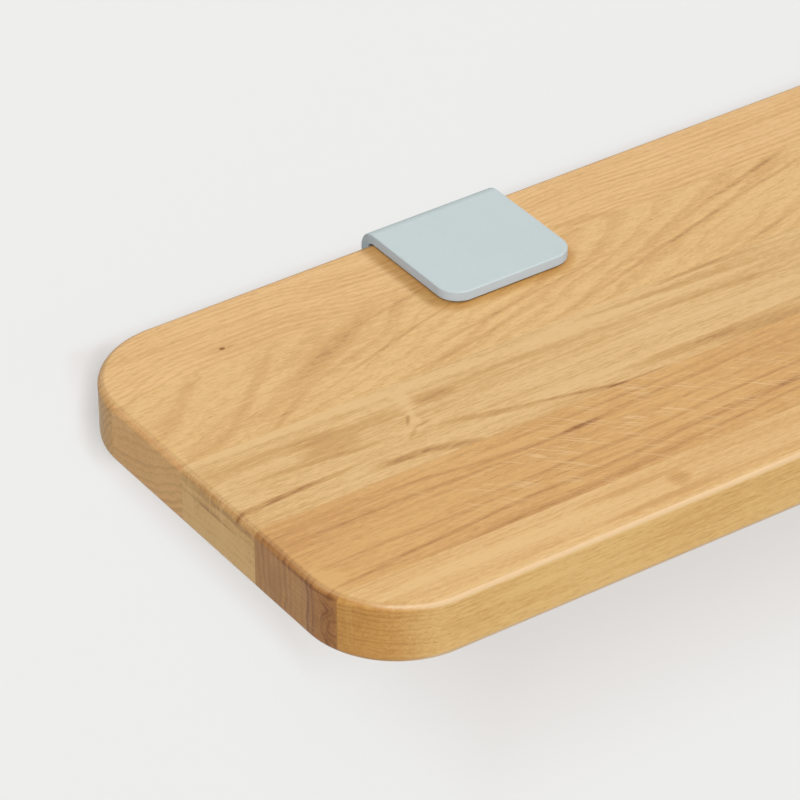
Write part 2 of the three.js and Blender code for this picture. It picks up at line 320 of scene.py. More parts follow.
def oak_figure_group():
    """Oak at a place in its log, in millimetres from the pith, with x along the grain."""
    tree, given, result = start_group(
        "oak figure",
        place=None, swirl=0.0, marks=0.0, flecks=0.0, ring_width=3.0, ring_wave=8.0, ring_depth=0.5,
        end_rings=0.8, streaks=0.5, ray_width=4.0, rays=0.3, pale=0xEEC288, tan=0xDEAF71,
        brown=0x9A6430, ray_tone=0xF6D3A0, crest_tone=0xE8C8A0, brow_tone=0xF0F0F0, side_tone=0xFBFAEA,
        end_tone=0xFFFFFF,
    )
    place = given["Place"]
    along, across, up = split(place)
    facing = split(add_node(tree, "TexCoord").outputs["Normal"])
    steep = calc("ABSOLUTE", facing[2])
    side_share = rise(steep, 0.45, 0.1)
    end_share = rise(calc("ABSOLUTE", facing[0]), 0.15, 0.75)

    # Year rings are shells around the pith. They wander in long waves and in short ones, and some
    # years' early wood is dark while that of others hardly shows.
    squares = scaled(across, across, product(up, up))
    radius = calc("SQRT", squares)
    wandering = radius
    for wave, reach in (
        (swing(place, long_wave_size, 2.0, 0.45), given["Ring Wave"]),
        (swing(place, short_wave_size), 2.6), (given["Swirl"], 8.0),
    ):
        wandering = scaled(wave, reach, wandering)
    year = calc("DIVIDE", wandering, given["Ring Width"])
    season = calc("FRACT", year)
    weather = add_node(tree, "TexWhiteNoise", noise_dimensions="1D")
    put(weather.inputs["W"], calc("FLOOR", year))
    early = calc("MAXIMUM", rise(season, 0.6, 0.05), rise(season, 0.8, 1.0))
    early = product(early, calc("ADD", weather.outputs["Value"], 0.1))

    # Pores are fine tubes along the grain, open in early wood: dashes on a face, dots on an end.
    pores = rise(noise(place, pore_size, 1.0), 0.56, 0.72)
    pores = product(pores, scaled(early, 0.6, 0.4))

    # Rays are thin sheets that stand on the pith. An end shows them as lines, a side as flecks.
    angle = calc("ARCTAN2", up, across)
    around = calc("DIVIDE", product(angle, 200.0), given["Ray Width"])
    off_sheet = calc("ABSOLUTE", swing(joined(along, radius, around), ray_sheet_size, 0.0))
    sheets = product(rise(off_sheet, 0.05, 0.015), end_share)
    breaks = rise(noise(place, ray_break_size, 1.0), 0.44, 0.56)
    rays = calc("MAXIMUM", product(sheets, breaks, given["Rays"]), given["Flecks"])

    # Fibres, long streaks and single marks vary the tone, from pale to tan and on to brown.
    fibres = swing(place, fibre_size, 3.0, 0.7)
    tone = calc("ADD", given["Marks"], 0.3)
    for part, weight in (
        (swing(place, band_size, 3.0, 0.55), product(given["Streaks"], 3.0)),
        (swing(place, patch_size, 1.0), 0.7), (fibres, 1.7), (swing(place, grain_size, 3.0, 0.75), 2.2),
        (early, scaled(end_share, given["End Rings"], given["Ring Depth"])),
    ):
        tone = scaled(part, weight, tone)
    wood = blend(rise(tone, -0.1, 0.95), given["Pale"], given["Tan"])
    deep = scaled(pores, 0.3, rise(tone, 0.8, 3.0))
    wood = blend(deep, wood, given["Brown"])
    wood = blend(rays, wood, given["Ray Tone"])

    # The rounded edge has a painted highlight, palest on its crest, which lies low on the long edges
    # and high on the ends. Above it, the long edges get a painted shade, a duller brow.
    crest_foot = rise(scaled(end_share, -0.7, steep), 0.05, 0.25)
    crest_head = rise(scaled(end_share, -0.2, steep), 0.78, 0.65)
    crest_depth = scaled(end_share, -0.5, 0.7)
    wood = blend(product(crest_head, crest_foot, crest_depth), wood, given["Crest Tone"])
    brow = calc("SUBTRACT", rise(steep, 1.0, 0.93), calc("ADD", crest_head, end_share))

    # The brow gets its painted shade, the sides a darker, more yellow tint than the top, and the ends
    # their own tone, as end grain drinks the most oil.
    for share, tint in (
        (calc("MAXIMUM", brow, 0.0), "Brow Tone"), (side_share, "Side Tone"), (end_share, "End Tone"),
    ):
        wood = stain(wood, blend(share, white, given[tint]))
    put(result["Color"], wood)

    gloss = scaled(pores, 0.2, 0.42)
    gloss = scaled(rays, -0.08, gloss)
    put(result["Roughness"], scaled(fibres, 0.08, gloss))
    put(result["Height"], calc("SUBTRACT", product(fibres, 0.25), pores))
    return tree


def start_material(name):
    """A material with a Principled shader. Gives back the material, its tree and the shader."""
    material = bpy.data.materials.new(name)
    material.use_nodes = True
    tree = material.node_tree
    return material, tree, tree.nodes["Principled BSDF"]


def group_material(name, group, relief, **settings):
    """A material whose colour, gloss and relief, in metres, come from a node group. Whole numbers
    among its settings are colours. Gives back the material, its tree, shader and group node."""
    material, tree, shader = start_material(name)
    figure = add_node(tree, "Group", node_tree=group)
    for word, value in settings.items():
        put(figure.inputs[socket_name(word)], colour(value) if isinstance(value, int) else value)
    put(shader.inputs["Base Color"], figure.outputs["Color"])
    put(shader.inputs["Roughness"], figure.outputs["Roughness"])
    bump = add_node(tree, "Bump")
    put(bump.inputs["Distance"], relief)
    put(bump.inputs["Height"], figure.outputs["Height"])
    put(shader.inputs["Normal"], bump.outputs["Normal"])
    return material, tree, shader, figure


def object_place(tree, location=(0, 0, 0), rotation=(0, 0, 0)):
    """Object coordinates in millimetres, moved and turned on the piece."""
    place = add_node(tree, "TexCoord").outputs["Object"]
    scale = (1 / mm, 1 / mm, 1 / mm)
    return add_node(tree, "Mapping", place, location, rotation, scale).outputs["Vector"]


def spot(place, middle, size, slant=0.0):
    """1 on an oval spot and 0 off it, with a soft rim. The middle is in millimetres from the board's
    left end, back edge and top, and the slant in degrees, up to the right."""
    corner = Vector((board_low.x, board_high.y, board_high.z)) / mm
    location = corner + Vector((middle[0], -middle[1], -middle[2]))
    terms = (place, location, (0, 0, math.radians(slant)), Vector(size) / 2)
    mapping = add_node(place.id_data, "Mapping", *terms, vector_type="TEXTURE")
    return rise(vector_calc("LENGTH", mapping.outputs["Vector"], result="Value"), 1.6, 0.4)


def grain_marks(tree, marks):
    """A stave's single dark marks, and pale ones where the depth is below 0. A mark is its place
    along and across the board, its length, its width, its slant and its depth."""
    place = object_place(tree)
    sway = product(swing(place, mark_sway_size), mark_sway)
    place = vector_calc("ADD", place, joined(0.0, sway, 0.0))
    total = 0.0
    for x, y, length, width, slant, depth in marks:
        share = spot(place, (x, y, 0), (length, width, mark_thickness), slant)
        total = scaled(share, depth, total)
    threads = rise(noise(place, mark_thread_size, 3.0, 0.7), 0.15, 0.65)
    return product(total, threads, 1.3)


def ray_flecks(tree, middle, size, slant, share):
    """Short pale flecks that lie across the grain at a slant, in degrees, most of them in one field
    of the board, given in millimetres."""
    place = object_place(tree, rotation=(0, 0, math.radians(slant)))
    flecks = rise(noise(place, fleck_size, 1.0, 0.4), 0.54, 0.63)
    fields = rise(noise(place, fleck_field_size, 1.0), 0.40, 0.62)
    in_field = scaled(spot(object_place(tree), middle, size), 0.8, 0.2)
    return product(flecks, fields, in_field, share)


def painted_shade_beside_tongues(tree):
    """Where the painted shade lies: 1 on the wood close beside and under the two tongues, and 0 away.
    """
    low, high = (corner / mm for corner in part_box("right_wall_strap"))
    radius = strap_corner_radius / mm
    middle = (low.x + high.x) / 2 + tongue_shade_shift
    half_width = (high.x - low.x) / 2 - radius
    x, y, z = split(object_place(tree))
    sideways = calc("ABSOLUTE", calc("SUBTRACT", calc("ABSOLUTE", x), middle))
    sideways = calc("MAXIMUM", calc("SUBTRACT", sideways, half_width), 0.0)
    forward = calc("MAXIMUM", calc("SUBTRACT", low.y + radius, y), 0.0)
    squares = scaled(sideways, sideways, product(forward, forward))
    off_outline = calc("SUBTRACT", calc("SQRT", squares), radius)
    return product(rise(off_outline, *tongue_shade_reach), rise(z, *tongue_shade_depth))


def oak_material(name, pith, seed, lean=(0, 0), marks=(), end_marks=(), swirls=(), flecks=None, **look):
    """Oak for one stave. The pith passes the board's left end at (y, z) millimetres from the
    middle of the board's top there, and leans by (y, z) millimetres for each one along the board.
    A swirl moves the rings: its place along, across and below the board, its reach and strength.
    An end mark's place across and below, its width, its height and its depth darken the left end."""
    material, tree, shader, figure = group_material(name, oak_figure, oak_relief, **look)
    turn = Euler((0, math.atan(lean[1]), -math.atan(lean[0])))
    pith_start = Vector((board_low.x / mm, pith[0], pith[1]))
    shift = Vector((seed, 0, 0)) - turn.to_matrix() @ pith_start
    put(figure.inputs["Place"], object_place(tree, shift, turn))
    swirl = 0.0
    for x, y, z, reach, strength in swirls:
        share = spot(object_place(tree), (x, y, z), (reach, reach, reach))
        swirl = scaled(share, strength, swirl)
    put(figure.inputs["Swirl"], swirl)
    tone = grain_marks(tree, marks)
    for y, z, width, height, depth in end_marks:
        share = spot(object_place(tree), (0, y, z), (end_mark_reach, width, height))
        tone = scaled(share, depth, tone)
    put(figure.inputs["Marks"], tone)
    if flecks:
        put(figure.inputs["Flecks"], ray_flecks(tree, *flecks))
    # The wood beside the tongues is darkened by a painted shade.
    shade = blend(painted_shade_beside_tongues(tree), white, colour(painted_tongue_shade))
    wood = stain(figure.outputs["Color"], shade)
    bounced = add_node(tree, "LightPath").outputs["Is Diffuse Ray"]
    put(shader.inputs["Base Color"], blend(bounced, wood, colour(oak_bounce)))
    return material


def make_board():
    """The whole panel, sawn to its outline and rounded over, before the staves are told apart."""
    bm = block(board_low, board_high)
    round_off(bm, edges_along(bm, 2), board_corner_radius, board_corner_steps)
    rims = [e for e in bm.edges if any(abs(face.normal.z) > 0.99 for face in e.link_faces)]
    round_off(bm, rims, board_edge_radius, board_edge_steps)
    return bm


oak_figure = oak_figure_group()
oak_looks = (
    # The rear stave.
    dict(
        pith=(-190, -120), lean=(0, 0.02), seed=1300,
        swirls=((56, 22, 0, 90, -1.1), (215, 30, 0, 50, -0.4)),
        marks=(
            (52, 28, 1.8, 1.3, 0, 6), (52, 28, 9, 4, 0, 0.4), (118, 20, 50, 2, -6, 0.5),
            (60, 17, 70, 1.2, 0, 0.4), (212, 33, 26, 4, -8, 0.6), (248, 18, 44, 1.4, -7, 0.6),
        ),
        ring_width=2.2, ring_wave=6.0, end_rings=0.6, ring_depth=0.55, streaks=0.3, rays=0.15,
        end_tone=0xF4E9D2,
    ),
    # The second stave.
    dict(
        pith=(2, 190), lean=(0, 0.15), seed=2600,
        marks=(
            (20, 50, 50, 6, 42, 0.4), (48, 56, 50, 4, 42, 0.5), (22, 73, 44, 9, 30, 0.4),
            (50, 76, 28, 2.5, 30, 0.7), (79, 54, 70, 9, 26, 0.6), (80, 53, 36, 5, 27, 0.3),
            (120, 40, 40, 1.6, 12, 0.7), (107, 60, 58, 1.6, 17, 0.8), (124, 78, 54, 2, 13, 0.8),
            (155, 65, 90, 1.6, 9, 0.7), (222, 66, 90, 2.2, 15, 0.9), (276, 44, 58, 2.4, 16, 1),
            (290, 48, 40, 1.8, 12, 0.8), (262, 78, 56, 1.6, 14, 0.7),
        ),
        ring_wave=12.0, end_rings=0.5, ring_depth=0.45, streaks=0.2, rays=0.1, pale=0xEBC284,
        tan=0xDBAC6E, end_tone=0xFFF3ED,
    ),
    # The third stave.
    dict(
        pith=(-116, -190), seed=3900,
        marks=(
            (120, 88, 250, 4, -2.2, -0.7), (30, 95, 50, 5, -2, 0.5), (50, 100, 24, 13, 0, 0.8),
            (46, 108, 46, 2.6, -6, 0.9), (70, 98, 20, 6, 0, 0.6), (87, 93, 5, 11, 0, -0.5),
            (84.5, 102, 10, 2.6, 66, -0.5), (83.6, 106.5, 3, 2.2, 0, -2),
            (81.5, 104.5, 6, 1.2, 55, 1.3), (85, 109.5, 6, 1.2, 10, 1.2), (79, 112, 8, 1.4, 40, 0.6),
            (98, 97, 17, 5, -4, 1), (145, 96, 90, 3.4, -1, 0.5), (225, 100, 50, 2.4, -2, 0.8),
            (107, 118, 34, 2.8, -15, 0.8), (140, 125, 50, 1.8, -14, 1.2), (168, 130, 40, 1.8, -3, 1.4),
            (12, 118.5, 62, 2.8, 1, 1.7), (67, 123, 19, 3.4, -4, 1.6), (86, 127, 22, 4, -20, 1.2),
            (228, 84.5, 44, 2, -1, 1.2), (215, 90, 70, 3, -4, 0.7), (190, 124, 40, 5, 0, 0.6),
            (226, 127, 50, 7, -5, 0.8),
        ),
        end_marks=((111, 2.6, 66, 3.6, 0.9), (104, 8.5, 26, 1.2, 1.6), (111, 20, 60, 20, -0.7)),
        flecks=((0, 108, 3), (10, 44, 18), 0, 0.5),
        ring_width=3.2, end_rings=0.4, ring_depth=0.25, rays=0.0, pale=0xE8C086, tan=0xD2A466,
        end_tone=0xFFFAF2,
    ),
    # The fourth stave.
    dict(
        pith=(44, -12), lean=(0, -0.06), seed=5200,
        flecks=((150, 154, 0), (150, 50, 30), 43, 0.4),
        swirls=((0, 174, 15, 9, 0.9), (0, 172, 2, 8, 0.7)),
        marks=(
            (4, 168, 12, 12, 0, -1.2), (15, 141, 90, 13, 0, 0.6), (130, 136, 100, 1.2, 0, 0.7),
            (75, 139, 56, 1.8, -6, 0.9), (112, 142.5, 60, 2, -1, 1), (131, 142.5, 15, 2.8, 0, 1.3),
            (176, 140, 80, 1.6, 2.5, 1), (60, 144.5, 100, 1.6, -1, 0.9), (115, 158, 90, 1.8, 0, 0.9),
            (190, 155.5, 90, 1.6, 3, 1), (40, 161.5, 80, 1.4, 0, 0.8), (20, 172, 50, 1.6, 5, 0.9),
            (75, 168.5, 80, 2, 2, 1.1), (150, 166, 90, 1.8, 3, 1), (215, 162.5, 50, 2, 3, 1.2),
            (85, 175.5, 70, 3, 1, 0.9), (142, 172.5, 40, 4, 5, 0.8), (192, 169, 70, 1.6, 4, 0.9),
        ),
        end_marks=(
            (165, 12, 6, 40, 1), (143, 16, 7, 14, 0.6), (174, 15, 12, 40, 1.5),
            # The last end mark is a thin dark line just under the rounded crest: painted shade.
            (163, 2.4, 34, 1.5, 1.6),
        ),
        ring_width=3.4, ring_wave=14.0, end_rings=1.1, ring_depth=0.35, streaks=0.35, ray_width=1.0,
        pale=0xE0B06F, tan=0xCF9B5C, end_tone=0xDBC9B2,
    ),
    # The front stave.
    dict(
        pith=(-190, -210), seed=6500,
        marks=(
            (60, 187, 90, 5, 0, -0.6), (122, 183, 36, 3, 0, 0.7), (139, 188, 8, 7, 0, 1),
            (128, 195, 42, 3, 0, 0.8), (80, 187, 20, 1, 0, 0.6),
        ),
        ring_width=1.9, ring_wave=5.0, end_rings=0.6, ring_depth=0.25, streaks=0.4, rays=0.2,
        pale=0xEAC184, tan=0xD9A868, end_tone=0xE3CEA6,
    ),
)

panel = make_board()
for name, (low, high), look in zip(stave_names, stave_boxes, oak_looks):
    stave = panel.copy()
    if high.y < board_high.y - tiny:
        cut_off(stave, (0, high.y, 0), (0, 1, 0))
    if low.y > board_low.y + tiny:
        cut_off(stave, (0, low.y, 0), (0, -1, 0))
    oak = oak_material("oak " + name, **look)
    show("oak_" + name + "_stave", stave, oak, [name + "_stave"])
panel.free()


# The straps. The back of each bracket is one strip of thick steel: a plate that stands on the wall,
# drilled and countersunk for three wall screws, and a tongue that is bent forward over the board.
# Its edges are tumbled smooth, and with the arm welded on it is powder coated in one pale matt colour.
sides = ("left", "right")
strap_thickness = 4.2 * mm
strap_corner_steps = 14
strap_edge_radius = 0.5 * mm
strap_edge_steps = 3
bend_outer_radius = 8.2 * mm
bend_steps = 14
wall_hole_radius = 2.8 * mm
countersink_radius = 5.6 * mm
upper_hole_height = -12.5 * mm
upper_hole_offset = 16 * mm
lower_hole_rise = 20 * mm
hole_steps = 48
directions = (Vector((1, 0, 0)), Vector((0, 1, 0)), Vector((0, 0, 1)))


def only(kind, made):
    """The parts of one kind among those that an operator has made."""
    return [part for part in made if isinstance(part, kind)]


def flat_face(bm, outward, reach):
    """The largest flat face that looks outward at that distance along its own direction."""
    outward = Vector(outward)
    found = []
    for face in bm.faces:
        off_plane = abs(face.calc_center_median().dot(outward) - reach)
        if face.normal.dot(outward) > 0.999 and off_plane < tiny:
            found.append(face)
    return max(found, key=lambda face: face.calc_area())


def ring_round(bm, axis, centre, radius, steps):
    """A ring of edges round an axis, 0 to 2."""
    turn = directions[axis].to_track_quat("Z", "Y").to_matrix().to_4x4()
    matrix = Matrix.Translation(centre) @ turn
    made = bmesh.ops.create_circle(bm, segments=steps, radius=radius, matrix=matrix)
    return list({edge for vert in made["verts"] for edge in vert.link_edges})


def drill(bm, axis, faces, holes):
    """Drills along an axis between two flat faces. A hole is given by its rings, from the first
    face to the second, each by its centre and its radius."""
    outlines = [list(face.edges) for face in faces]
    bmesh.ops.delete(bm, geom=faces, context="FACES_ONLY")
    for hole in holes:
        rings = [ring_round(bm, axis, centre, radius, hole_steps) for centre, radius in hole]
        for first, second in zip(rings, rings[1:]):
            bmesh.ops.bridge_loops(bm, edges=first + second)
        outlines[0] += rings[0]
        outlines[1] += rings[-1]
    for outline in outlines:
        bmesh.ops.triangle_fill(bm, use_beauty=True, edges=outline, normal=directions[axis])


def finish_group():
    """A finish whose colour and gloss vary in soft patches and in fine specks."""
    tree, given, result = start_group(
        "surface finish",
        place=None, dark=0x808080, light=0xA0A0A0, patch_size=30.0, speck_size=0.8, speck_share=0.5,
        least_roughness=0.5, roughness_range=0.1,
    )
    patches = rise(noise(given["Place"], given["Patch Size"], 3.0, 0.55), 0.3, 0.7)
    specks = rise(noise(given["Place"], given["Speck Size"]), 0.3, 0.7)
    difference = calc("SUBTRACT", specks, patches)
    tone = scaled(difference, given["Speck Share"], patches)
    put(result["Color"], blend(tone, given["Dark"], given["Light"]))
    gloss = scaled(tone, given["Roughness Range"], given["Least Roughness"])
    put(result["Roughness"], gloss)
    put(result["Height"], specks)
    return tree


def finish_material(name, metallic, relief, **settings):
    """A material with the shared finish and its own settings."""
    material, tree, shader, finish = group_material(name, surface_finish, relief, **settings)
    put(shader.inputs["Metallic"], metallic)
    put(finish.inputs["Place"], object_place(tree))
    return material


def dress(name, node_name, make, material, body=None, **sizes):
    """On both sides, makes a piece in the box of one node of the model, and in its place."""
    for side in sides:
        node = f"{side}_{node_name}"
        rides_on = f"{side}_{body}" if body else "shelf"
        show(f"{side}_{name}", make(*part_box(node), **sizes), material, [node], rides_on)


def make_strap(low, high):
    """The plate is a block, the bend is its top face turned, and the tongue is pulled out of it."""
    bend = Vector(((low.x + high.x) / 2, high.y - bend_outer_radius, high.z - bend_outer_radius))
    front = high.y - strap_thickness
    bm = block((low.x, front, low.z), (high.x, high.y, bend.z))
    top = flat_face(bm, (0, 0, 1), bend.z)
    turned = bmesh.ops.spin(
        bm, geom=[top], cent=bend, axis=directions[0], angle=math.pi / 2, steps=bend_steps
    )
    end = only(BMFace, turned["geom_last"])
    pulled = bmesh.ops.extrude_face_region(bm, geom=end)
    bmesh.ops.translate(bm, vec=(0, low.y - bend.y, 0), verts=only(BMVert, pulled["geom"]))
    bmesh.ops.delete(bm, geom=[top] + end, context="FACES_ONLY")
    bmesh.ops.recalc_face_normals(bm, faces=bm.faces)

    foot = edges_along(bm, 1, lambda middle: middle.z < low.z + tiny)
    nose = edges_along(bm, 2, lambda middle: middle.y < low.y + tiny)
    round_off(bm, foot + nose, strap_corner_radius, strap_corner_steps)
    soften(bm, strap_edge_radius, strap_edge_steps)

    holes = []
    sink = countersink_radius - wall_hole_radius
    for offset, height in (
        (-upper_hole_offset, upper_hole_height), (upper_hole_offset, upper_hole_height),
        (0, low.z + lower_hole_rise),
    ):
        mouth = Vector((bend.x + offset, front, height))
        rings = (
            (mouth, countersink_radius), (mouth + Vector((0, sink, 0)), wall_hole_radius),
            (mouth + Vector((0, strap_thickness, 0)), wall_hole_radius),
        )
        holes.append(rings)
    faces = [flat_face(bm, (0, -1, 0), -front), flat_face(bm, (0, 1, 0), high.y)]
    drill(bm, 1, faces, holes)
    return bm


surface_finish = finish_group()
powder_coat = finish_material(
    "powder coat",
    metallic=0.0, relief=0.02 * mm, dark=0xC7D3D4, light=0xCCD8D9, patch_size=45.0, speck_size=0.7,
    speck_share=0.6, least_roughness=0.5, roughness_range=0.12,
)
dress("strap", "wall_strap", make_strap, powder_coat)


# The arms. Each bracket carries the board on an arm folded from 3 mm sheet, open below: a top with a
# window for the clamp, two cheeks that taper to the front, and a nose that closes its end.
arm_sheet = 3 * mm
arm_fold_radius = 4 * mm
arm_fold_steps = 8
arm_nose_depth = 16 * mm
arm_nose_chamfer = 4 * mm
arm_edge_radius = 0.4 * mm
arm_edge_steps = 2
window_clearance = 1 * mm
window_corner_radius = 5 * mm
window_corner_steps = 10


def make_arm(low, high, clamp_low, clamp_high):
    """A block is cut to the arm's side view and opened below and behind. Its skin is folded, gets
    the window for the clamp, and is then given the sheet's thickness, inwards."""
    bm = block(low, high)
    chin = Vector((0, low.y + arm_nose_chamfer, high.z - arm_nose_depth))
    heel = Vector((0, high.y, low.z))
    along = heel - chin
    cut_off(bm, chin, Vector((0, along.z, -along.y)))
    cut_off(bm, chin, (0, -1, -1))
    open_sides = [face for face in bm.faces if face.normal.z < -0.1 or face.normal.y > 0.9]
    bmesh.ops.delete(bm, geom=open_sides, context="FACES")
    folds = edges_along(bm, 1, lambda middle: middle.z > high.z - tiny)
    folds += edges_along(bm, 0, lambda middle: middle.z > high.z - tiny and middle.y < low.y + tiny)
    folds += edges_along(bm, 2, lambda middle: middle.y < low.y + tiny)
    round_off(bm, folds, arm_fold_radius, arm_fold_steps)
    bmesh.ops.remove_doubles(bm, verts=bm.verts, dist=tiny)

    top = flat_face(bm, (0, 0, 1), high.z)
    centre = (clamp_low + clamp_high) / 2
    width = clamp_high.x - clamp_low.x + 2 * window_clearance
    length = clamp_high.y - clamp_low.y + 2 * window_clearance
    place = Matrix.Translation((centre.x, centre.y, high.z)) @ Matrix.Diagonal((width, length, 1, 1))
    grid = bmesh.ops.create_grid(bm, x_segments=1, y_segments=1, size=0.5, matrix=place)
    corners = grid["verts"]
    corners = round_off(bm, corners, window_corner_radius, window_corner_steps, "VERTICES")
    window = corners[0].link_faces[0]
    outline = list(top.edges) + list(window.edges)
    bmesh.ops.delete(bm, geom=[top, window], context="FACES_ONLY")
    bmesh.ops.triangle_fill(bm, use_beauty=True, edges=outline, normal=directions[2])
    bmesh.ops.recalc_face_normals(bm, faces=bm.faces)
    bmesh.ops.solidify(bm, geom=bm.faces[:], thickness=arm_sheet)
    bm.normal_update()
    soften(bm, arm_edge_radius, arm_edge_steps)
    return bm


for side in sides:
    arm = make_arm(*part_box(side + "_arm"), *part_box(side + "_pressure_plate"))
    show(side + "_folded_arm", arm, powder_coat, [side + "_arm"])


# The pads. A thin rubber pad lies between each tongue and the board, and two more lie on each arm, so
# that bare steel never touches the oiled wood. They are punched from sheet and glued on.
tongue_pad_corner_radius = 7 * mm
rest_pad_corner_radius = 2 * mm
pad_corner_steps = 8
pad_edge_radius = 0.15 * mm
pad_edge_steps = 2


def make_pad(low, high, radius, reach=math.inf):
    """A flat pad. Its upright edges are rounded, or only those no further back than this reach."""
    bm = block(low, high)
    corners = edges_along(bm, 2, lambda middle: middle.y < low.y + reach)
    round_off(bm, corners, radius, pad_corner_steps)
    soften(bm, pad_edge_radius, pad_edge_steps)
    return bm


pad_rubber = finish_material(
    "pad rubber",
    metallic=0.0, relief=0.03 * mm, dark=0x2B2B2B, light=0x474745, patch_size=14.0, speck_size=0.5,
    speck_share=0.55, least_roughness=0.72, roughness_range=0.16,
)
dress(
    "pad_under_tongue", "tongue_pad", make_pad, pad_rubber,
    radius=tongue_pad_corner_radius, reach=tiny,
)
for place in ("rear", "front"):
    name = place + "_pad_on_arm"
    dress(name, place + "_rest_pad", make_pad, pad_rubber, radius=rest_pad_corner_radius)


# The clamp's bridge and nut. A flat bridge is welded between the cheeks of each arm, and a weld nut
# on it holds the clamp screw.
bridge_hole_radius = 4.3 * mm
bridge_edge_radius = 0.4 * mm
bridge_edge_steps = 2
nut_flats = 14 * mm
nut_edge_radius = 0.5 * mm
nut_edge_steps = 3


def bore(bm, low, high, rings=None):
    """Drills down through the middle of a piece, plainly or by rings of given height and radius."""
    centre = (low + high) / 2
    rings = rings or ((high.z, bridge_hole_radius), (low.z, bridge_hole_radius))
    rings = [((centre.x, centre.y, height), radius) for height, radius in rings]
    faces = [flat_face(bm, (0, 0, 1), high.z), flat_face(bm, (0, 0, -1), -low.z)]
    drill(bm, 2, faces, [rings])


def make_bridge(low, high):
    """A plate with a plain hole in its middle."""
    bm = block(low, high)
    soften(bm, bridge_edge_radius, bridge_edge_steps)
    bore(bm, low, high)
    return bm


def make_nut(low, high):
    """A hexagon with softened corners and a bore."""
    bm = bmesh.new()
    bmesh.ops.create_cone(
        bm, cap_ends=True, segments=6, radius1=nut_flats / math.sqrt(3),
        radius2=nut_flats / math.sqrt(3), depth=high.z - low.z,
        matrix=Matrix.Translation((low + high) / 2) @ Matrix.Rotation(math.pi / 6, 4, "Z"),
    )
    soften(bm, nut_edge_radius, nut_edge_steps)
    bore(bm, low, high)
    return bm


zinc_plate = finish_material(
    "zinc plate",
    metallic=1.0, relief=0.01 * mm, dark=0x9FA3A6, light=0xCDD1D4, patch_size=9.0, speck_size=0.4,
    speck_share=0.35, least_roughness=0.28, roughness_range=0.16,
)
dress("bridge", "clamp_bridge", make_bridge, powder_coat)
dress("nut", "weld_nut", make_nut, zinc_plate)


# The welds. A bead runs down each cheek where the arm stands on the wall plate, and one along each
# end of the bridge, laid before the bracket is coated.
bead_radius = 2.1 * mm
bead_steps = 12
bead_ripple_length = 1.5 * mm
bead_ripple_depth = 0.1
bead_rings_each_ripple = 5
bead_tip_share = 0.25
cheek_bead_margin = 6 * mm
cheek_bead_offset = 0.5 * mm
bridge_bead_margin = 2 * mm


def add_bead(bm, start, end):
    """A round rod from start to end that ripples along its way and closes at both ends."""
    start, end = Vector(start), Vector(end)
    run = end - start
    count = round(run.length / bead_ripple_length) * bead_rings_each_ripple
    turn = run.to_track_quat("Z", "Y").to_matrix().to_4x4()
    place = Matrix.Translation(start) @ turn
    ring = bmesh.ops.create_circle(
        bm, cap_ends=True, segments=bead_steps, radius=bead_radius, matrix=place
    )["verts"]
    rings = [ring]
    for step in range(count):
        edges = {edge for vert in ring for edge in vert.link_edges}
        edges = [edge for edge in edges if all(vert in ring for vert in edge.verts)]
        pulled = bmesh.ops.extrude_edge_only(bm, edges=edges)
        ring = only(BMVert, pulled["geom"])
        bmesh.ops.translate(bm, vec=run / count, verts=ring)
        rings.append(ring)
    last = list({edge for vert in ring for edge in vert.link_edges if edge.is_boundary})
    bmesh.ops.edgeloop_fill(bm, edges=last)
    for step, ring in enumerate(rings):
        centre = start + run * (step / count)
        from_end = min(step, count - step) * run.length / count
        rounding = math.sqrt(max(0.0, 1 - (1 - min(1.0, from_end / bead_radius)) ** 2))
        ripple = 1 - bead_ripple_depth * abs(math.sin(math.pi * step / bead_rings_each_ripple))
        size = max(bead_tip_share, rounding) * ripple
        for vert in ring:
            vert.co = centre + (vert.co - centre) * size


for side in sides:
    arm_low, arm_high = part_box(side + "_arm")
    bridge_low, bridge_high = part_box(side + "_clamp_bridge")
    beads = bmesh.new()
    for edge, outward in ((arm_low.x, -1), (arm_high.x, 1)):
        x = edge + outward * cheek_bead_offset
        y = arm_high.y - cheek_bead_offset
        top = (x, y, arm_high.z - cheek_bead_margin)
        bottom = (x, y, arm_low.z + cheek_bead_margin / 2)
        add_bead(beads, top, bottom)
    for edge, inward in ((bridge_low.x, 1), (bridge_high.x, -1)):
        x = edge + inward * cheek_bead_offset
        z = bridge_low.z - cheek_bead_offset
        rear = (x, bridge_high.y - bridge_bead_margin, z)
        front = (x, bridge_low.y + bridge_bead_margin, z)
        add_bead(beads, rear, front)
    show(side + "_weld_beads", beads, powder_coat, [])


# The clamp jaws. A zinc plated pressure plate slides up through the window of each arm and presses
# its rubber pad against the board. A pocket in its top takes the end of the screw.
jaw_corner_radius = 4 * mm
jaw_edge_radius = 0.4 * mm
jaw_edge_steps = 3
pocket_radius = 5.5 * mm
pocket_depth = 2.7 * mm
neck_hole_radius = 2.8 * mm


def make_pressure_plate(low, high):
    """A plate with a stepped hole, wide above and narrow below."""
    bm = block(low, high)
    round_off(bm, edges_along(bm, 2), jaw_corner_radius, pad_corner_steps)
    soften(bm, jaw_edge_radius, jaw_edge_steps)
    floor = high.z - pocket_depth
    pocket = ((high.z, pocket_radius), (floor, pocket_radius))
    bore(bm, low, high, (*pocket, (floor, neck_hole_radius), (low.z, neck_hole_radius)))
    return bm


dress("jaw_plate", "pressure_plate", make_pressure_plate, zinc_plate, "jaw")
dress("jaw_pad", "pressure_pad", make_pad, pad_rubber, "jaw", radius=jaw_corner_radius)


# The clamp screws. Each is a black socket head screw. Turned with a hex key from below, it climbs
# through the weld nut and lifts the jaw, which hangs on a retaining ring near its tip.
head_radius = 6.5 * mm
head_height = 8 * mm
head_chamfer = 0.6 * mm
head_fillet = 0.2 * mm
knurl_depth = 0.15 * mm
knurl_margin = 1.4 * mm
screw_steps = 96
thread_radius = 4 * mm
thread_crest = 0.2 * mm
thread_root = 1.12 * mm
thread_core_radius = 3.35 * mm
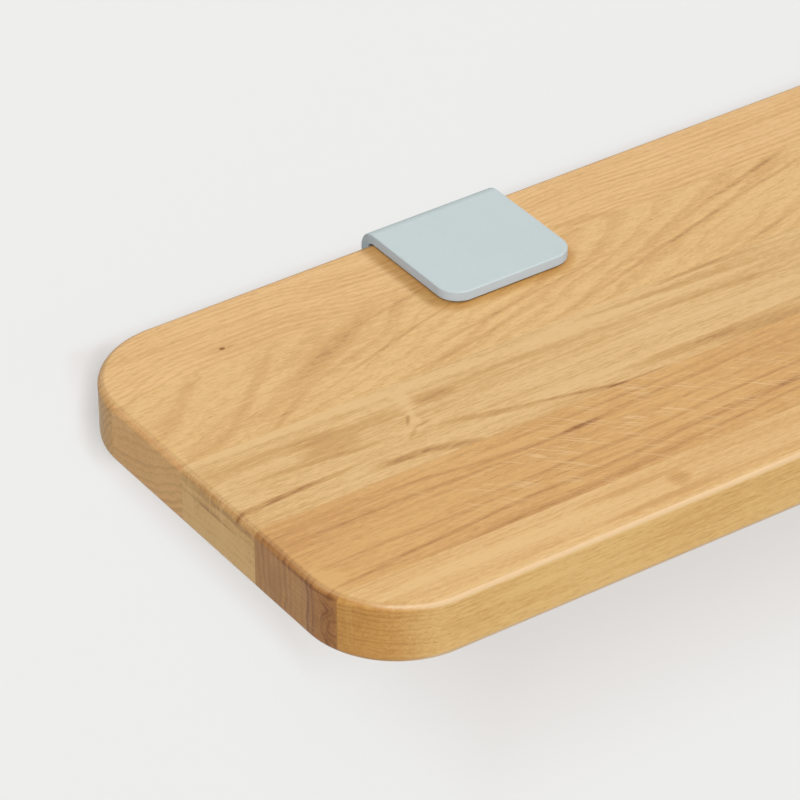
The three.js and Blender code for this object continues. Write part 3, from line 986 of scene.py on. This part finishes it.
# The ridge is sunk into the core, and where it fades out only this much of it is left.
thread_foot_radius = 3.15 * mm
thread_least_radius = 3.2 * mm
thread_pitch = 1.25 * mm
thread_steps = 32
# Above the head come a short plain shank, then the core. The thread starts this far above the head
# and ends this far below the shoulder.
shank_length = 0.9 * mm
core_start = 1.6 * mm
thread_start = 1.4 * mm
thread_end = 0.5 * mm
thread_shoulder = -31.8 * mm
shoulder_chamfer = (0.35 * mm, 0.4 * mm)
neck_radius = 2.5 * mm
tip_chamfer = 0.3 * mm
groove_radius = 1.9 * mm
groove_low = -29.2 * mm
groove_high = -27.8 * mm
key_flats = 6 * mm
key_depth = 4 * mm
ring_inner_radius = 2.2 * mm
ring_outer_radius = 4.5 * mm
ring_gap = math.radians(60)
ring_steps = 60
ring_edge_radius = 0.12 * mm
ring_edge_steps = 2


def add_thread(bm, axis_point, low, high):
    """A ridge that winds round the screw's core from low to high and fades out at both ends."""
    start = axis_point + Vector((0, 0, low))
    corners = (
        (thread_foot_radius, -thread_root / 2), (thread_radius, -thread_crest / 2),
        (thread_radius, thread_crest / 2), (thread_foot_radius, thread_root / 2),
    )
    others = set(bm.verts)
    face = bm.faces.new([bm.verts.new(start + Vector((x, 0, z))) for x, z in corners])
    turns = (high - low) / thread_pitch
    steps = round(turns * thread_steps)
    bmesh.ops.spin(
        bm, geom=[face], cent=start, axis=directions[2], dvec=(0, 0, (high - low) / steps),
        angle=2 * math.pi * turns, steps=steps,
    )
    for vert in set(bm.verts) - others:
        from_end = min(vert.co.z - low, high - vert.co.z)
        fade = min(1.0, max(0.0, from_end / thread_pitch))
        out = Vector((vert.co.x - start.x, vert.co.y - start.y, 0))
        if out.length > thread_core_radius:
            kept = thread_least_radius + (out.length - thread_least_radius) * fade
            vert.co -= out * (1 - kept / out.length)


def make_screw(low, high):
    """The turned screw, its knurled head with a hexagon socket, and its thread."""
    axis_point = Vector(((low.x + high.x) / 2, (low.y + high.y) / 2, 0))
    head_top = low.z + head_height
    bm = bmesh.new()
    profile = [
        bm.verts.new((axis_point.x + radius, axis_point.y, height))
        for radius, height in (
            (0.0, high.z), (neck_radius - tip_chamfer, high.z), (neck_radius, high.z - tip_chamfer),
            (neck_radius, groove_high), (groove_radius, groove_high), (groove_radius, groove_low),
            (neck_radius, groove_low), (neck_radius, thread_shoulder),
            (thread_core_radius - shoulder_chamfer[0], thread_shoulder),
            (thread_core_radius, thread_shoulder - shoulder_chamfer[1]),
            (thread_core_radius, head_top + core_start), (thread_radius, head_top + shank_length),
            (thread_radius, head_top + head_fillet), (thread_radius + head_fillet, head_top),
            (head_radius - head_chamfer / 2, head_top), (head_radius, head_top - head_chamfer / 2),
            (head_radius, head_top - knurl_margin), (head_radius, low.z + knurl_margin),
            (head_radius, low.z + head_chamfer), (head_radius - head_chamfer, low.z),
        )
    ]
    edges = [bm.edges.new(pair) for pair in zip(profile, profile[1:])]
    bmesh.ops.spin(
        bm, geom=profile + edges, cent=axis_point, axis=directions[2], angle=2 * math.pi,
        steps=screw_steps, use_merge=True,
    )
    bmesh.ops.remove_doubles(bm, verts=bm.verts, dist=tiny / 10)
    outline = [edge for edge in bm.edges if edge.is_boundary]

    step_angle = 2 * math.pi / screw_steps
    for vert in bm.verts:
        out = Vector((vert.co.x - axis_point.x, vert.co.y - axis_point.y, 0))
        on_band = low.z + knurl_margin - tiny < vert.co.z < head_top - knurl_margin + tiny
        if on_band and round(math.atan2(out.y, out.x) / step_angle) % 2:
            vert.co -= out * (knurl_depth / out.length)

    mouth = ring_round(bm, 2, (axis_point.x, axis_point.y, low.z), key_flats / math.sqrt(3), 6)
    socket = bmesh.ops.extrude_edge_only(bm, edges=mouth)["geom"]
    bmesh.ops.translate(bm, vec=(0, 0, key_depth), verts=only(BMVert, socket))
    bmesh.ops.edgeloop_fill(bm, edges=[e for e in only(BMEdge, socket) if e.is_boundary])
    bmesh.ops.triangle_fill(bm, use_beauty=True, edges=outline + mouth, normal=directions[2])
    add_thread(bm, axis_point, head_top + thread_start, thread_shoulder - thread_end)
    return bm


def make_retaining_ring(low, high):
    """A flat open ring with its gap towards +X."""
    radius = (high.y - low.y) / 2
    centre = Vector((low.x + ring_outer_radius, (low.y + high.y) / 2, (low.z + high.z) / 2))
    inner = (centre.x + ring_inner_radius, centre.y - tiny, low.z)
    bm = block(inner, (centre.x + radius, centre.y, high.z))
    end = flat_face(bm, (0, 1, 0), centre.y)
    bmesh.ops.delete(bm, geom=[face for face in bm.faces if face is not end], context="FACES")
    start = Matrix.Rotation(ring_gap / 2, 3, "Z")
    bmesh.ops.rotate(bm, cent=centre, matrix=start, verts=bm.verts)
    bmesh.ops.spin(
        bm, geom=bm.faces[:], cent=centre, axis=directions[2], angle=2 * math.pi - ring_gap,
        steps=ring_steps,
    )
    bmesh.ops.recalc_face_normals(bm, faces=bm.faces)
    soften(bm, ring_edge_radius, ring_edge_steps)
    return bm


black_steel = finish_material(
    "black steel",
    metallic=0.85, relief=0.01 * mm, dark=0x1E1F21, light=0x3B3C3E, patch_size=6.0, speck_size=0.3,
    speck_share=0.4, least_roughness=0.34, roughness_range=0.14,
)
dress("socket_screw", "clamp_screw", make_screw, black_steel, "screw")
dress("open_ring", "retaining_ring", make_retaining_ring, zinc_plate, "screw")


# The wall and the floor. They aren't part of the nightstand: a plain painted wall behind it and a
# plain floor below it, both seen from the room's side only.
wall_gap = 0.5 * mm
room_half_size = 6.0
floor_drop = 0.55
wall_colour = 0xF9FEFF
floor_colour = 0xE6E6E4
paint_roughness = 0.9
# The wall's painted shade by the board's left rear corner: its colour, its middle and its size.
painted_corner_shade = 0xAAA29C
corner_shade_place = ((22, 0, 32), (19, 20, 42))
# A paint's look to the camera near the board's shadow and away from it: its colour and how even.
# Near the shadow the even colour is warmer, a painted warm tint in the shade.
wall_looks = ((0xF2EBE6, 0.58), (0xEFEFED, 0.92))
floor_looks = ((0xEEEEEC, 0.3), (0xEEEEEC, 0.3))
# Where the look near the shadow ends, each by its last full place and the first one that is clear of
# it, in millimetres: above, below, left of the board, beside the shadow's slanted side, and low on
# that side, where it fades over a longer way.
shade_top = (-9.0, 0.0)
shade_foot = (-210.0, -340.0)
shade_left = (-284.0, -298.0)
shade_slant = -2 / 3
shade_side = (308.0, 328.0)
shade_low_side = (236.0, 338.0)
shade_low_start = (-150.0, -210.0)


def mixed(share, first, second):
    """The first shader where share is 0, the second where it is 1."""
    return add_node(share.id_data, "MixShader", share, first, second).outputs[0]


def room_paint(name, code, near, away):
    """Matt paint that shows from the front only. To the camera it is partly evenly lit, and it has a
    painted soft shade by the board's left rear corner."""
    material, tree, shader = start_material(name)
    put(shader.inputs["Base Color"], colour(code))
    put(shader.inputs["Roughness"], paint_roughness)
    x, y, z = split(object_place(tree))
    leftward = scaled(z, shade_slant, product(x, -1.0))
    outside = product(rise(leftward, *shade_low_side), rise(z, *shade_low_start))
    for value, ends in ((z, shade_top), (z, shade_foot), (leftward, shade_side), (x, shade_left)):
        outside = calc("MAXIMUM", outside, rise(value, *ends))
    look = blend(outside, colour(near[0]), colour(away[0]))
    # Painted shade by the board's left rear corner.
    look = blend(spot(object_place(tree), *corner_shade_place), look, colour(painted_corner_shade))
    evenness = scaled(outside, away[1] - near[1], near[1])
    even = add_node(tree, "Emission", look, 1.0).outputs[0]
    camera_ray = add_node(tree, "LightPath").outputs["Is Camera Ray"]
    seen = mixed(product(camera_ray, evenness), shader.outputs[0], even)
    behind = add_node(tree, "NewGeometry").outputs["Backfacing"]
    clear = add_node(tree, "BsdfTransparent").outputs[0]
    put(tree.nodes["Material Output"].inputs["Surface"], mixed(behind, seen, clear))
    return material


def room_plane(name, matrix, paint):
    """One flat side of the room."""
    bm = bmesh.new()
    bmesh.ops.create_grid(bm, x_segments=1, y_segments=1, size=room_half_size, matrix=matrix)
    plane = new_object(name, bm, paint)
    return plane


upright = Matrix.Rotation(math.pi / 2, 4, "X")
wall_place = Matrix.Translation((0, wall_gap, room_half_size - floor_drop))
wall_paint = room_paint("wall paint", wall_colour, *wall_looks)
wall = room_plane("wall", wall_place @ upright, wall_paint)
floor_place = Matrix.Translation((0, wall_gap - room_half_size, -floor_drop))
floor_paint = room_paint("floor paint", floor_colour, *floor_looks)
floor = room_plane("floor", floor_place, floor_paint)
# Light from behind passes the wall, so that the back of the nightstand isn't black from there.
wall.visible_diffuse = False
wall.visible_shadow = False


# The light. A tall soft lamp far off, to the left and above, throws the board's shadow down the wall,
# and a broad lamp on the right lights the pieces alone. The pale room fills in the rest, brightest
# overhead, and is seen as plain and pale all round.
lamp_distance = 12.0
left_lamp_from = Vector((-0.68, -1.0, 1.12))
left_lamp_light = 1.95
left_lamp_size = (1.1, 4.4)
right_lamp_from = Vector((0.75, -0.30, 0.60))
right_lamp_light = 0.92
right_lamp_size = (2.6, 2.6)
room_colour = 0xEEEEEC
room_overhead = 0.46
room_level = 0.05


def soft_lamp(name, lamp_from, light, size):
    """A far lamp with a flat pane, so bright that this much of its light falls on the board."""
    lamp = bpy.data.objects.new(name, bpy.data.lights.new(name, "AREA"))
    lamp.data.shape = "RECTANGLE"
    lamp.data.size, lamp.data.size_y = size
    lamp.data.energy = math.pi * lamp_distance**2 * light
    lamp.location = lamp_distance * lamp_from.normalized()
    lamp.rotation_euler = lamp_from.to_track_quat("Z", "Y").to_euler()
    scene.collection.objects.link(lamp)
    return lamp


soft_lamp("left lamp", left_lamp_from, left_lamp_light, left_lamp_size)
right_lamp = soft_lamp("right lamp", right_lamp_from, right_lamp_light, right_lamp_size)
lit_pieces = bpy.data.collections.new("lit from the right")
for piece in scene.objects:
    if piece.type == "MESH" and piece not in (wall, floor):
        lit_pieces.objects.link(piece)
right_lamp.light_linking.receiver_collection = lit_pieces

room = bpy.data.worlds.new("pale room")
room.use_nodes = True
tree = room.node_tree
up = split(add_node(tree, "TexCoord").outputs["Generated"])[2]
lit = tree.nodes["Background"]
put(lit.inputs["Color"], white)
brightness = scaled(calc("MAXIMUM", up, 0.0), room_overhead, room_level)
put(lit.inputs["Strength"], brightness)
plain = add_node(tree, "Background", colour(room_colour), 1.0)
ray = add_node(tree, "LightPath").outputs
seen = calc("MAXIMUM", ray["Is Camera Ray"], ray["Is Glossy Ray"])
seen = calc("MAXIMUM", seen, ray["Is Transmission Ray"])
room_light = mixed(seen, lit.outputs[0], plain.outputs[0])
put(tree.nodes["World Output"].inputs["Surface"], room_light)
scene.world = room
